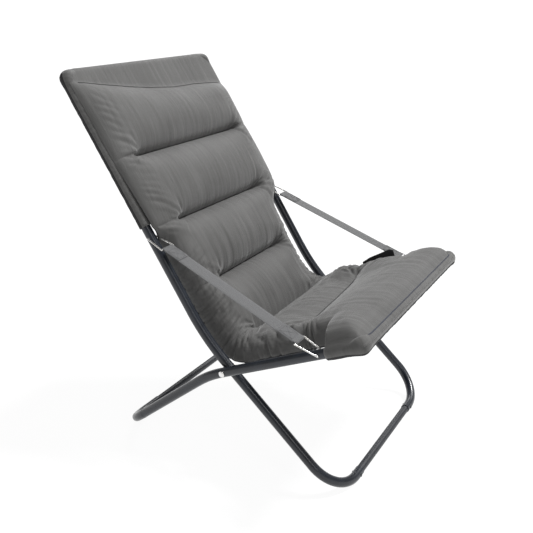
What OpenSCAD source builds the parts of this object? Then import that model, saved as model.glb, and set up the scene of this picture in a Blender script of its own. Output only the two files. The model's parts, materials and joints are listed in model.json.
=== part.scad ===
// Folding relax chair: two bent-tube frames crossed on a pivot, a padded cover
// slung between their top and front bars, and two arm straps that stop the fold.
// Millimetres. X is the chair's width, the sitter faces -Y, Z is up, floor at 0.

/* [Tubing] */
// Outside diameter of the side tubes
tube_d = 22; // [20:0.5:26]
// Wall of the side tubes and of the cross bars
tube_wall = 1.2; // [1:0.1:2]
// Free play between a cross bar and the tube end that it plugs into
bar_play = 0.3; // [0.2:0.05:0.5]
// Length of cross bar inside each tube end
bar_insert = 32; // [25:1:45]
// Distance from the chair's middle to each tube end
joint_x = 150; // [100:1:180]

/* [Back frame] */
// Width of the back frame over its tubes
back_w = 549; // [460:1:680]
// Length from the top bar to the bend
back_upper = 660; // [540:1:800]
// Length from the bend to the front floor bar
back_lower = 456; // [370:1:560]
// Slope of the upper part
back_angle = 56.6; // [50:0.1:64]
// Slope of the lower part
leg_angle = 41; // [36:0.1:46]
// Distance from the bend to the pivot
back_pivot = 86; // [75:1:110]
// Distance from the top bar to the holes of the rear wire links
back_pin = 402; // [330:1:460]
// Radius of the bend in each side of the back frame
back_bend_r = 500; // [300:10:600]
// Radius of the top corners and of the seat's front corners
corner_r = 40; // [35:1:80]
// Radius of the corners that stand on the floor
floor_corner_r = 90; // [60:1:100]

/* [Seat frame] */
// Gap between the back frame and the seat frame at the pivot
frame_gap = 2; // [1.6:0.1:4]
// Length from the front bar to the bend
seat_front = 402; // [340:1:480]
// Slope of the seat part
seat_angle = 25.2; // [20:0.1:30]
// Slope of the rear legs
seat_leg_angle = 40; // [36:0.1:46]
// Distance from the bend to the pivot
seat_pivot = 46.5; // [40:0.5:60]
// Distance from the bend to the holes of the front wire links
seat_pin = 303.5; // [260:0.5:320]
// Radius of the bend in each side of the seat frame
seat_bend_r = 300; // [150:10:320]

/* [Fasteners] */
// Diameter of the pivot bolts
bolt_d = 6; // [5:0.5:8]
// Radial play of bolts, rivets and wire ends in their holes
hole_play = 0.06; // [0.02:0.01:0.1]
// Diameter of a pivot bolt's head
bolt_head_d = 14; // [12:0.5:18]
// Width across the corners of a cap nut
nut_d = 12; // [11:0.5:14]
// Side play at each face of the pivot washer
washer_play = 0.3; // [0.2:0.05:0.5]
// Diameter of the bar rivets
rivet_d = 4; // [3:0.5:5]

/* [Arm straps] */
// Diameter of the wire that the links are bent from
wire_d = 3.5; // [2.5:0.1:4]
// Length of a rear wire link, from its pin to its bar
rear_link = 48; // [40:1:60]
// Length of a front wire link, from its pin to its bar
front_link = 52; // [44:1:60]
// Width of an arm strap
strap_w = 36; // [24:1:38]
// Thickness of the doubled webbing
strap_t = 2.8; // [2:0.1:4]
// Share of the strap behind the place where it folds
strap_fold = 0.54; // [0.45:0.01:0.6]

/* [Cover] */
// How far the upper pads reach past the middles of the back tubes
cover_overlap = 6.5; // [3:0.5:9]
// Gap between the narrow pads and the tubes
cover_side_gap = 16.5; // [15.5:0.5:30]
// Thickness of the cloth of a sleeve
sleeve_t = 3; // [2:0.1:4]
// Free space between a sleeve and its tube
sleeve_play = 1.6; // [1.4:0.1:2.5]
// Height of the pads over the middle of the tubes
pad_top = 36; // [32:1:40]
// Height of the pads beside the seat crease
crease_top = 16; // [12:1:18]
// Width of the groove at each sewn seam
seam_w = 4; // [2:0.5:6]
// Distances of the back's sewn seams from the top bar
head_seam = 219; // [190:1:240]
shoulder_seam = 390; // [360:1:395]
back_seam = 553; // [500:1:600]
// Distance of the seat's sewn seam from the pivot
seat_seam = 150; // [130:1:180]
// Distance of the front sleeve's rear edge from the link holes
sleeve_setback = 16; // [14:1:24]

/* [Hidden] */
$fn = 48;

tube_r = tube_d / 2;
bar_r = tube_r - tube_wall - bar_play;
sleeve_in = tube_r + sleeve_play;
sleeve_out = sleeve_in + sleeve_t;

// Middles of the tubes, measured from the chair's middle
back_x = back_w / 2 - tube_r;
seat_x = back_x + tube_d + frame_gap;
cover_wide = back_x + cover_overlap;
cover_narrow = back_x - tube_r - cover_side_gap;

// Side view: each point is [y, z]
function along(from, len, angle) = from + len * [cos(angle), sin(angle)];
front_run = (seat_front - seat_pivot) * cos(seat_angle) + sleeve_out;
rear_run = back_pivot * cos(leg_angle) + back_upper * cos(back_angle) + sleeve_out;
pivot = [(front_run - rear_run) / 2, tube_r + (back_lower - back_pivot) * sin(leg_angle)];
back_bend = along(pivot, back_pivot, leg_angle);
top = along(back_bend, back_upper, back_angle);
front_floor = along(back_bend, -back_lower, leg_angle);
seat_bend = along(pivot, seat_pivot, -seat_angle);
front = along(seat_bend, seat_front, 180 - seat_angle);
seat_leg = (seat_bend[1] - tube_r) / sin(seat_leg_angle);
rear_floor = along(seat_bend, seat_leg, -seat_leg_angle);
rear_pin = along(top, -back_pin, back_angle);
front_pin = along(seat_bend, seat_pin, 180 - seat_angle);

// Arm strap: pulled straight between the two pins when the chair is open
chain = front_pin - rear_pin;
chain_angle = atan2(chain[1], chain[0]);
strap_len = norm(chain) - rear_link - front_link;
rear_eye = along(rear_pin, rear_link, chain_angle);
front_eye = along(front_pin, -front_link, chain_angle);
strap_mid = along(rear_eye, strap_len * strap_fold, chain_angle);
wire_r = wire_d / 2;
link_side_play = 0.8;
link_pin_reach = 5;
strap_loop_play = 0.3;

// Fasteners
bolt_r = bolt_d / 2;
rivet_r = rivet_d / 2;
rivet_inset = 16;
rivet_head_t = 0.7;
bolt_head_t = 3.2;
nut_t = 5;
cap_r = 4;
washer_r = 9;
cut = 1;
swell = 0.2;
bend_lap = 2;
wire_swell = 0.03;

// A straight or bent round rod that starts along +Z. Each step is
// [straight length, bend radius, bend angle, roll of the bend about the rod].
// A bend swells by a hair, and its straights run a little way into it.
module bent_rod(steps, r, i = 0) {
    if (i < len(steps)) {
        run = steps[i][0];
        bend_r = steps[i][1];
        angle = steps[i][2];
        lap_in = i > 0 ? bend_lap : 0;
        lap_out = angle > 0 ? bend_lap : 0;
        translate([0, 0, -lap_in]) cylinder(h = run + lap_in + lap_out, r = r);
        translate([0, 0, run]) rotate([0, 0, steps[i][3]]) {
            if (angle > 0)
                translate([bend_r, 0, 0]) rotate([90, 0, 0]) rotate([0, 0, 180 - angle])
                    rotate_extrude(angle = angle) translate([bend_r, 0]) circle(r = r + swell);
            translate([bend_r * (1 - cos(angle)), 0, bend_r * sin(angle)])
                rotate([0, angle, 0]) bent_rod(steps, r, i + 1);
        }
    }
}

// A bent tube; its bore runs a little past both ends
module bent_tube(steps, r_out, r_in) {
    last = len(steps) - 1;
    longer = [for (i = [0 : last])
        [steps[i][0] + (i == 0 ? cut : 0) + (i == last ? cut : 0),
         steps[i][1], steps[i][2], steps[i][3]]];
    difference() {
        bent_rod(steps, r_out);
        translate([0, 0, -cut]) bent_rod(longer, r_in);
    }
}

// The steps of one side of a frame, from its upper tube end to its floor tube end
function side_steps(x, upper, lower, bend_r, turn) =
    let (set_back = bend_r * tan(turn / 2))
    [[x - joint_x - corner_r, corner_r, 90, 0],
     [upper - corner_r - set_back, bend_r, turn, 90],
     [lower - floor_corner_r - set_back, floor_corner_r, 90, -90],
     [x - joint_x - floor_corner_r, 0, 0, 0]];

// Puts a shape drawn along a frame's slope in place: its X runs down the slope
// and its Z runs out to the right
module on_back(x = 0)
    translate([x, top[0], top[1]]) rotate([90 + back_angle, 0, 0]) rotate([0, -90, 0]) children();
module on_seat(x = 0)
    translate([x, front[0], front[1]]) rotate([-90 - seat_angle, 0, 0]) rotate([0, -90, 0]) children();

// A cylinder along X and one along Y, centred on a point
module x_rod(x, at, r, len)
    translate([x, at[0], at[1]]) rotate([0, 90, 0]) cylinder(h = len, r = r, center = true);
module y_rod(x, at, r, len)
    translate([x, at[0], at[1]]) rotate([90, 0, 0]) cylinder(h = len, r = r, center = true);
module left() mirror([1, 0, 0]) children();
module both_sides() for (side = [0, 1]) mirror([side, 0, 0]) children();

module back_side_tube() {
    difference() {
        on_back(-joint_x) bent_tube(
            side_steps(back_x, back_upper, back_lower, back_bend_r, back_angle - leg_angle),
            tube_r, tube_r - tube_wall);
        x_rod(-back_x, pivot, bolt_r + hole_play, tube_d + 2 * cut);
        x_rod(-back_x, rear_pin, wire_r + hole_play, tube_d + 2 * cut);
        for (at = [top, front_floor])
            y_rod(-joint_x - rivet_inset, at, rivet_r + hole_play, tube_d + 2 * cut);
    }
}

module seat_side_tube() {
    difference() {
        on_seat(-joint_x) bent_tube(
            side_steps(seat_x, seat_front, seat_leg, seat_bend_r, seat_leg_angle - seat_angle),
            tube_r, tube_r - tube_wall);
        x_rod(-seat_x, pivot, bolt_r + hole_play, tube_d + 2 * cut);
        x_rod(-seat_x, front_pin, wire_r + hole_play, tube_d + 2 * cut);
        for (at = [front, rear_floor])
            y_rod(-joint_x - rivet_inset, at, rivet_r + hole_play, tube_d + 2 * cut);
    }
}

module cross_bar(at) {
    half = joint_x + bar_insert;
    difference() {
        x_rod(0, at, bar_r, 2 * half);
        x_rod(0, at, bar_r - tube_wall, 2 * half + 2 * cut);
        both_sides() y_rod(joint_x + rivet_inset, at, rivet_r + hole_play, tube_d);
    }
}

module bar_rivets(at) {
    both_sides() {
        y_rod(joint_x + rivet_inset, at, rivet_r, tube_d + rivet_head_t);
        for (dir = [-1, 1])
            y_rod(joint_x + rivet_inset, at + [dir * (tube_r + rivet_head_t / 2), 0], 2 * rivet_r, rivet_head_t);
    }
}

bolt_out = seat_x + tube_r + washer_play;
bolt_in = back_x - tube_r - washer_play;

module pivot_bolt() {
    translate([-bolt_out, pivot[0], pivot[1]]) rotate([0, -90, 0]) {
        translate([0, 0, bolt_in + cut - bolt_out - nut_t]) cylinder(h = bolt_out - bolt_in + nut_t, r = bolt_r);
        // Domed head: a slice of a ball
        intersection() {
            cylinder(h = bolt_head_t, d = bolt_head_d);
            translate([0, 0, bolt_head_t - bolt_head_d]) sphere(r = bolt_head_d);
        }
    }
}

module pivot_cap_nut() {
    translate([-bolt_in, pivot[0], pivot[1]]) rotate([0, 90, 0]) difference() {
        union() {
            cylinder(h = nut_t, d = nut_d, $fn = 6);
            translate([0, 0, nut_t]) intersection() {
                sphere(r = cap_r);
                cylinder(h = cap_r, r = cap_r);
            }
        }
        translate([0, 0, -cut]) cylinder(h = nut_t + cut, r = bolt_r + hole_play);
    }
}

module pivot_washer() {
    middle = -(back_x + seat_x) / 2;
    difference() {
        x_rod(middle, pivot, washer_r, frame_gap - 2 * washer_play);
        x_rod(middle, pivot, bolt_r + hole_play, frame_gap);
    }
}

// A wire link drawn along +Y from its pin ends, which point at each other, to its bar
module wire_link(length) {
    pin_x = tube_r + wire_r + link_side_play;
    bar_x = strap_w / 2 + wire_r + link_side_play;
    lean = atan2(bar_x - pin_x, length);
    both_sides() {
        translate([tube_r - tube_wall - link_pin_reach, 0, 0]) rotate([0, 90, 0])
            cylinder(h = pin_x - tube_r + tube_wall + link_pin_reach, r = wire_r);
        translate([pin_x, 0, 0]) sphere(r = wire_r + wire_swell);
        translate([pin_x, 0, 0]) rotate([-90, 0, -lean]) cylinder(h = length / cos(lean), r = wire_r);
        translate([bar_x, length, 0]) sphere(r = wire_r + wire_swell);
    }
    translate([0, length, 0]) rotate([0, 90, 0]) cylinder(h = 2 * bar_x, r = wire_r, center = true);
}

module rear_wire_link()
    translate([-back_x, rear_pin[0], rear_pin[1]]) rotate([chain_angle, 0, 0]) wire_link(rear_link);

module front_wire_link()
    translate([-seat_x, front_pin[0], front_pin[1]]) rotate([chain_angle - 180, 0, 0]) wire_link(front_link);

// One half of a strap along +Y: flat webbing from y0 to y1 with its edges at
// middle lines x0 and x1, and a sewn loop round the link's bar at y = loop
module strap_half(y0, y1, x0, x1, loop_y, loop_x) {
    eye_r = wire_r + strap_loop_play;
    difference() {
        union() {
            linear_extrude(height = strap_t, center = true) polygon([
                [x0 - strap_w / 2, y0], [x0 + strap_w / 2, y0],
                [x1 + strap_w / 2, y1], [x1 - strap_w / 2, y1]]);
            translate([loop_x, loop_y, 0]) rotate([0, 90, 0])
                cylinder(h = strap_w, r = eye_r + strap_t / 2, center = true);
        }
        translate([loop_x, loop_y, 0]) rotate([0, 90, 0])
            cylinder(h = strap_w + 4 * cut, r = eye_r, center = true);
    }
}

strap_shift = seat_x - back_x;
module arm_strap(rear) {
    mid_y = strap_len * strap_fold;
    // Turned so that +Y runs from the rear link's bar to the front link's bar
    translate([-back_x, rear_eye[0], rear_eye[1]]) rotate([chain_angle, 0, 0]) {
        if (rear) strap_half(0, mid_y, 0, -strap_shift * strap_fold, 0, 0);
        else strap_half(mid_y, strap_len, -strap_shift * strap_fold, -strap_shift, strap_len, -strap_shift);
    }
}

// A pad's side outline between two distances down the slope; low and the two
// heights are measured from the middle of the tubes, with rounded-off corners
module pad(s0, s1, low, high0, high1, half) {
    edge = 8;
    drop = 6;
    linear_extrude(height = 2 * half, center = true) polygon([
        [s0, low], [s0, high0 - drop], [s0 + edge, high0],
        [s1 - edge, high1], [s1, high1 - drop], [s1, low]]);
}
module seat_pad(s0, s1, low, high0, high1, half) on_seat() mirror([0, 1, 0]) pad(s0, s1, low, high0, high1, half);

module back_pad(s0, s1, low, high0, high1, half) on_back() pad(s0, s1, low, high0, high1, half);

// Heights of the pads' undersides over the middle of the tubes
over_sleeve = sleeve_out + 0.5;
over_tube = tube_r + 1;
between_tubes = 3;
half_seam = seam_w / 2;

// Where the pads start and end, and their heights beside the crease and the front bar
head_start = sleeve_out + 4.4;
shoulder_inset = 8;
lumbar_end = back_upper - 5;
lumbar_top = pad_top - 4;
crease_r = 78;
front_to_pivot = seat_front - seat_pivot;
seat_pad_end = front_to_pivot - seat_seam;
seat_rear_top = 32;
seat_front_top = 34;
flap_start = -6;
flap_top = 32;
flap_overlap = 9;
flap_end = seat_front - seat_pin - sleeve_setback;
flap_lap = 10;

// The top sleeve covers the straight bar between the corners
module top_sleeve() {
    half = back_x - corner_r;
    difference() {
        x_rod(0, top, sleeve_out, 2 * half);
        x_rod(0, top, sleeve_in, 2 * half + 2 * cut);
    }
}

// The front sleeve follows the bar, both corners and a short part of each side tube
module front_sleeve() {
    past = flap_end - corner_r;
    both_sides() on_seat()
        bent_tube([[seat_x - corner_r, corner_r, 90, 0], [past, 0, 0, 0]], sleeve_out, sleeve_in);
}

// The crease joins the lumbar pad to the seat's rear pad over the pivot. Its
// points are [y, z] from the pivot, along the underside and then along the top.
crease_ridge = [[14, 44], [-20, 44]];
crease_under = [[-20, 12], [0, 8], [28, 22]];
crease_gap = 4;
crease_lap = 2;

module cover_crease() {
    seat_end = along([0, 0], crease_r - crease_gap, 180 - seat_angle);
    back_end = along(back_bend - pivot, crease_lap, back_angle);
    out_of_back = [-sin(back_angle), cos(back_angle)];
    out_of_seat = [sin(seat_angle), cos(seat_angle)];
    translate([0, pivot[0], pivot[1]]) rotate([90, 0, 90])
        linear_extrude(height = 2 * cover_narrow, center = true) polygon(concat(
            [back_end + between_tubes * out_of_back, back_end + crease_top * out_of_back],
            crease_ridge,
            [seat_end + crease_top * out_of_seat, seat_end + between_tubes * out_of_seat],
            crease_under));
}

steel = [0.07, 0.08, 0.10];
bright = [0.80, 0.81, 0.82];
cloth = [0.28, 0.28, 0.29];
webbing = [0.36, 0.37, 0.39];

color(steel) back_side_tube();  // back_side_tube_right
color(steel) left() back_side_tube();  // back_side_tube_left
color(steel) cross_bar(top);  // back_top_bar
color(steel) cross_bar(front_floor);  // back_floor_bar
color(steel) seat_side_tube();  // seat_side_tube_right
color(steel) left() seat_side_tube();  // seat_side_tube_left
color(steel) cross_bar(front);  // seat_front_bar
color(steel) cross_bar(rear_floor);  // seat_floor_bar
color(steel) {  // back_bar_rivets
    bar_rivets(top);
    bar_rivets(front_floor);
}
color(steel) {  // seat_bar_rivets
    bar_rivets(front);
    bar_rivets(rear_floor);
}
color(bright) pivot_bolt();  // pivot_bolt_right
color(bright) left() pivot_bolt();  // pivot_bolt_left
color(bright) pivot_cap_nut();  // pivot_cap_nut_right
color(bright) left() pivot_cap_nut();  // pivot_cap_nut_left
color("black") pivot_washer();  // pivot_washer_right
color("black") left() pivot_washer();  // pivot_washer_left
color(bright) rear_wire_link();  // rear_wire_link_right
color(bright) left() rear_wire_link();  // rear_wire_link_left
color(bright) front_wire_link();  // front_wire_link_right
color(bright) left() front_wire_link();  // front_wire_link_left
color(webbing) arm_strap(true);  // arm_strap_rear_right
color(webbing) left() arm_strap(true);  // arm_strap_rear_left
color(webbing) arm_strap(false);  // arm_strap_front_right
color(webbing) left() arm_strap(false);  // arm_strap_front_left
color(cloth) top_sleeve();  // cover_top_sleeve
color(cloth)  // cover_head_pad
    back_pad(head_start, head_seam - half_seam, over_sleeve, pad_top, pad_top, cover_wide);
color(cloth)  // cover_shoulder_pad
    back_pad(head_seam + half_seam, shoulder_seam - half_seam, over_tube, pad_top, pad_top,
        cover_wide - shoulder_inset);
color(cloth)  // cover_back_pad
    back_pad(shoulder_seam + half_seam, back_seam - half_seam, between_tubes, pad_top, pad_top,
        cover_narrow);
color(cloth)  // cover_lumbar_pad
    back_pad(back_seam + half_seam, lumbar_end, between_tubes, lumbar_top, crease_top, cover_narrow);
color(cloth) cover_crease();
color(cloth)  // cover_seat_rear_pad
    seat_pad(seat_pad_end + half_seam, front_to_pivot - crease_r, between_tubes, seat_rear_top,
        crease_top, cover_narrow);
color(cloth) {  // cover_seat_front_pad
    seat_pad(flap_end - flap_lap, seat_pad_end - half_seam, between_tubes + 2, pad_top, seat_front_top,
        cover_narrow);
    seat_pad(flap_start, flap_end, over_sleeve, flap_top, pad_top, seat_x + flap_overlap);
}
color(cloth) front_sleeve();  // cover_front_sleeve
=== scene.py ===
import json
import math

import bpy
import numpy as np
from mathutils import Matrix, Vector, noise
from mathutils.bvhtree import BVHTree


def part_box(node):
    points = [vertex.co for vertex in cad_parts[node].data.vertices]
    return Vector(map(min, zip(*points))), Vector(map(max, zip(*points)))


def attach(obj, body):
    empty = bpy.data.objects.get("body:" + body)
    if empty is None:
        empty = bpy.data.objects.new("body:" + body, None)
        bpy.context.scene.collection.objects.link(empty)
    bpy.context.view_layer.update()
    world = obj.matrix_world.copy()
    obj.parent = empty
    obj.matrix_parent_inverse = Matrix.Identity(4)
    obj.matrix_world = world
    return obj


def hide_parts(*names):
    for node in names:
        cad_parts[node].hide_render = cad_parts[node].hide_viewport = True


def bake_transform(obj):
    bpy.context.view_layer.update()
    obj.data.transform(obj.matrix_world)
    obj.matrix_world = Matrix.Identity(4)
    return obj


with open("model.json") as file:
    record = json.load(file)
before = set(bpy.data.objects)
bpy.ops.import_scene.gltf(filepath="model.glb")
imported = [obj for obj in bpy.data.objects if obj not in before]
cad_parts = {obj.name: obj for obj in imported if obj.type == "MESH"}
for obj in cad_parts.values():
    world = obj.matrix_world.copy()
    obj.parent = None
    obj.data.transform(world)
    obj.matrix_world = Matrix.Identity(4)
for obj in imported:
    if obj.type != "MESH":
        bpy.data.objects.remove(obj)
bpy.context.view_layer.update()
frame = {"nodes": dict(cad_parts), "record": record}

MM = 0.001


# ---------------------------------------------------------------- frame lines
def middle(node):
    """The (y, z) middle of a CAD node, in millimetres."""
    low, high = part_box(node)
    return np.array([low.y + high.y, low.z + high.z]) / 2 / MM


def turned(angle):
    return np.array([math.cos(math.radians(angle)), math.sin(math.radians(angle))])


TOP = middle("back_top_bar")
FRONT = middle("seat_front_bar")
PIVOT = middle("pivot_washer_right")
BACK_TILT, SEAT_TILT = 56.6, 25.2                  # degrees from the floor
BACK_DOWN = -turned(BACK_TILT)
BACK_NORMAL = turned(BACK_TILT + 90)
SEAT_UP = turned(180 - SEAT_TILT)
SEAT_NORMAL = turned(90 - SEAT_TILT)
BACK_X, SEAT_X = 263.5, 287.5                      # the side tubes' middles
NARROW = 236.0                                     # half-width of the seat
WRAP_R = 14.5                                      # of the cover over a tube
CORNER_R = 40.0                                    # of a bent tube's middle line
CORNER_POWER = 5.0       # the cover fills its corners, so they are nearly square
FRONT_A = 355.5          # the front bar's distance from the pivot along the seat
FLAP_A = 273.0           # where the front sleeve starts
CORNER_S = 739.5         # where the back's line and the seat's line would meet
BEND_S, BEND_A = 640.0, 76.0                       # where the bent middle starts and ends


def back_at(s, n=0.0):
    return TOP + s * BACK_DOWN + n * BACK_NORMAL


def seat_at(a, n=0.0):
    return PIVOT + a * SEAT_UP + n * SEAT_NORMAL


def smooth(x, low=0.0, high=1.0):
    t = np.clip((np.asarray(x, float) - low) / (high - low), 0, 1)
    return t * t * (3 - 2 * t)


# ------------------------------------------------------------- cover's layout
# Running distances start at the top bar's middle and follow the tubes' line down and forward
HEM = 50.0
RUN_BEND = 150.0                                   # length of the bent middle
RUN_CREASE = BEND_S + RUN_BEND / 2
RUN_SEAT = BEND_S + RUN_BEND - BEND_A              # running distance = RUN_SEAT + a
RUN_FLAP = RUN_SEAT + FLAP_A
# Sewn seams: running distance, half-width, height over the tubes' line
SEAMS = [
    (HEM, 262.0, 12.5), (219.0, 191.5, 5.0), (390.0, 163.0, 2.0), (553.0, 138.0, 2.0),
    (RUN_CREASE, 140.0, 13.0), (RUN_SEAT + 150, 156.0, 27.0), (RUN_SEAT + 372, 300.0, 14.0),
]
# Heights over the tubes' line at each running distance: pads, rim, and under side
CREST = [(HEM, 36), (120, 43), (219, 42), (305, 45), (390, 43), (470, 45), (553, 43), (640, 40),
         (RUN_CREASE, 38), (RUN_SEAT + 100, 44), (RUN_SEAT + 150, 42), (RUN_SEAT + 210, 48),
         (RUN_SEAT + 350, 50)]
EDGE_N = [(0, 12), (375, 12), (395, 0), (425, -8), (470, -13), (553, -14), (BEND_S, -14),
          (RUN_CREASE, -20), (RUN_SEAT + 78, -5), (RUN_SEAT + 200, -5), (RUN_FLAP - 10, -3),
          (RUN_FLAP, 12)]
UNDER_N = [(HEM, 2), (120, -6), (390, -6), (470, -14), (553, -15), (BEND_S, -15),
           (RUN_CREASE, -22), (RUN_SEAT + 78, -9), (RUN_SEAT + 200, -9), (RUN_FLAP, -4),
           (RUN_SEAT + 372, 0)]
# Its half-width at each running distance
HALF_W = [(0, 273), (219, 271), (385, 264), (432, 243), (500, 239), (620, NARROW), (2000, NARROW)]
# How far the seat's far side rides up
FAR_LIFT = [(BEND_S, 0), (RUN_CREASE, 0), (RUN_SEAT + 30, 6), (RUN_SEAT + 92, 24),
            (RUN_SEAT + 138, 20), (RUN_SEAT + 200, 16), (RUN_FLAP - 12, 8), (RUN_FLAP, 0)]
SIDE_OUT, BAR_OUT = 9.5, 14.5      # how far the cloth reaches past the tubes' middles
ON_BACK = 420                      # down to here the cover lies on the back's side tubes
CLOTH_T = 1.3                      # where the two layers lie flat on each other
LEAST_T = 1.2                      # anywhere else
FAR_SHIFT = 13.0                   # the lower back's far side is drawn in by this


def table(rows, t):
    return np.interp(t, [r[0] for r in rows], [r[1] for r in rows])


def inside_of(x, along, middle_x):
    """Distance inside a frame's tube line, where along is the distance from its bar."""
    ax = np.abs(x)
    over_x = np.clip(ax - (middle_x - CORNER_R), 0, None)
    over_y = np.clip(CORNER_R - along, 0, None)
    far = (over_x ** CORNER_POWER + over_y ** CORNER_POWER) ** (1 / CORNER_POWER)
    return np.where((over_x > 0) | (over_y > 0), CORNER_R - far, np.minimum(along, middle_x - ax))


COLS = 79
grid_u = np.linspace(-1, 1, COLS)
XI = 0.55 * grid_u + 0.45 * np.sin(grid_u * math.pi / 2)


def columns(width):
    """x of each column at a half-width: only the outer columns spread with it."""
    return NARROW * XI + np.sign(XI) * (width - NARROW) * smooth(np.abs(XI), 0.72, 1.0)


def outline(x, middle_x, out):
    """How far past a bar's middle the cover's outline runs, at each x."""
    over = np.clip(np.abs(x) - (middle_x - CORNER_R), 0, None)
    left = np.clip((CORNER_R + out) ** CORNER_POWER - over ** CORNER_POWER, 0, None)
    return left ** (1 / CORNER_POWER) - CORNER_R


def top_line(x):
    out = BAR_OUT - (BAR_OUT - SIDE_OUT) * smooth(np.abs(x), 215, 262)
    return -outline(x, BACK_X, out)


def front_line(x):
    return FRONT_A + outline(x, SEAT_X, BAR_OUT)


# The hem and the seat's seam don't run straight: how far each has slipped, by x
HEM_SLIP = [(-262, -25), (-200, -12), (-100, 7), (-37, 17), (60, 27), (143, 28), (256, 36)]
SEAT_SLIP = [(-236, 34), (-155, 26), (148, -4), (236, -6)]


def slipped(sheet, x):
    """Running distance on the chair from the cloth's own running distance."""
    hem = np.interp(x, [p[0] for p in HEM_SLIP], [p[1] for p in HEM_SLIP])
    seat = np.interp(x, [p[0] for p in SEAT_SLIP], [p[1] for p in SEAT_SLIP])
    near_hem = smooth(sheet, 6, HEM) * (1 - smooth(sheet, HEM, 200))
    near_seat = np.exp(-((sheet - RUN_SEAT - 150) / 42) ** 2)
    return sheet + hem * near_hem + seat * near_seat


def make_rows():
    """The grid's rows: the running distance and x of each point."""
    rows = []
    top_end, beside_seam = 90.0, 7
    for q in np.linspace(0, 1, 17):
        x = columns(HALF_W[0][1])
        start = top_line(x)
        s = start + (top_end - start) * q ** 1.25
        rows.append((s, x))
    seams = [t0 for t0, _w, _n in SEAMS[1:4]]
    plain = [s for s in np.linspace(top_end, BEND_S, 80)[1:]
             if min(abs(s - q) for q in seams) > beside_seam]
    for s in sorted(plain + [q + d for q in seams for d in (-5.5, -2.0, 0.0, 2.0, 5.5)]):
        rows.append((np.full(COLS, s), columns(table(HALF_W, s))))
    for q in np.linspace(0, 1, 27)[1:]:
        rows.append((np.full(COLS, BEND_S + q * RUN_BEND), columns(NARROW)))
    for a in np.linspace(BEND_A, FLAP_A - 4, 30)[1:]:
        rows.append((np.full(COLS, RUN_SEAT + a), columns(NARROW)))
    for q in np.linspace(0, 1, 22):
        x = columns(SEAT_X + WRAP_R)
        end = front_line(x)
        a = FLAP_A + (end - FLAP_A) * (1 - (1 - q) ** 1.5)
        rows.append((RUN_SEAT + a, x))
    return rows


ROWS = make_rows()
NROWS = len(ROWS)
U = np.array([r[0] for r in ROWS])                 # running distance on the cloth
X = np.array([r[1] for r in ROWS])
T = slipped(U, X)                                  # and where that lies on the chair


def line_and_normal(t):
    """The (y, z) point of the tubes' line at running distance t, and its normal."""
    t = np.asarray(t, float)
    q = np.clip((t - BEND_S) / RUN_BEND, 0, 1)[..., None]
    ends = back_at(BEND_S), back_at(CORNER_S), seat_at(BEND_A)
    bend = (1 - q) ** 2 * ends[0] + 2 * q * (1 - q) * ends[1] + q ** 2 * ends[2]
    tt = t[..., None]
    point = np.where(tt < BEND_S, TOP + tt * BACK_DOWN,
                     np.where(tt > BEND_S + RUN_BEND, PIVOT + (tt - RUN_SEAT) * SEAT_UP, bend))
    back, seat = BACK_TILT + 90, 90 - SEAT_TILT
    angle = np.radians(back - smooth(q[..., 0]) * (back - seat))
    return point, np.stack([np.cos(angle), np.sin(angle)], -1)


def pinch(t, x):
    """How far the upper layer is drawn down to each seam, from 0 to 1, and the seam's height."""
    best = np.zeros_like(t)
    level = np.zeros_like(t)
    for (t0, w0, n0), (t1, w1, n1) in zip(SEAMS[:-1], SEAMS[1:]):
        share = (t - t0) / (t1 - t0)
        inside = (share >= 0) & (share <= 1)
        arch = np.sqrt(np.clip(1 - np.abs(2 * np.clip(share, 0, 1) - 1) ** 4.5, 0, 1))
        width = np.where(share < 0.5, w0, w1)
        height = np.where(share < 0.5, n0, n1)
        hold = 1 - 0.85 * smooth(np.abs(x), width - 6, width + 34)
        best = np.where(inside, (1 - arch) * hold, best)
        level = np.where(inside, height, level)
    return best, level


def heights(sheet, x):
    """Upper and lower layer's heights over the tubes' line."""
    t = slipped(sheet, x)
    lift = table(FAR_LIFT, t) * smooth(x, 100, 205)
    crest, edge, under = table(CREST, t) + lift, table(EDGE_N, t) + lift / 2, table(UNDER_N, t)
    half = table(HALF_W, t)
    s_in = inside_of(x, t, BACK_X)
    a_in = inside_of(x, FRONT_A - (t - RUN_SEAT), SEAT_X)
    wrap = lambda e: np.sqrt(np.clip(WRAP_R ** 2 - np.clip(e, -WRAP_R, 0) ** 2, 0, None))
    crown = lambda d, reach: np.sqrt(np.clip(1 - (1 - np.clip(d / reach, 0, 1)) ** 2, 0, 1))
    # On the tubes, at the top and along the upper back
    wide = wrap(s_in) + (crest - WRAP_R) * crown(s_in + 6, 64) ** 1.4
    wide_low = wrap(s_in) - CLOTH_T + (under - 13) * smooth(s_in, 11, 34)
    # Between the tubes; the lower back's far side is slack
    inside = half - np.abs(x)
    slack = smooth(t, 410, 460) * (1 - smooth(t, 640, 720)) * smooth(x, 0, 60)
    full = (1 - slack) * crown(inside, 42) + slack * crown(inside, 78) ** 1.6
    slim = edge + (crest - edge) * full
    slim_low = edge + (under - edge) * crown(inside, 30)
    # On the front bar and its corners
    flap = wrap(a_in) + (crest - WRAP_R) * crown(a_in, 48)
    flap_low = wrap(a_in) - CLOTH_T + (under - 12) * smooth(a_in, 11, 34)
    to_slim = smooth(t, 388, 428)
    is_flap = t >= RUN_FLAP - 1
    high = np.where(is_flap, flap, (1 - to_slim) * wide + to_slim * slim)
    low = np.where(is_flap, flap_low, (1 - to_slim) * wide_low + to_slim * slim_low)
    drawn, level = pinch(sheet, x)
    high = np.where(high > level, high - (high - level) * drawn, high)
    band = sheet < HEM                                 # flat cloth over the top bar
    high = np.where(band, np.minimum(high, wrap(s_in)), high)
    low = np.where(band, high - CLOTH_T, low)
    return high, np.minimum(low, high - LEAST_T)


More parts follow.
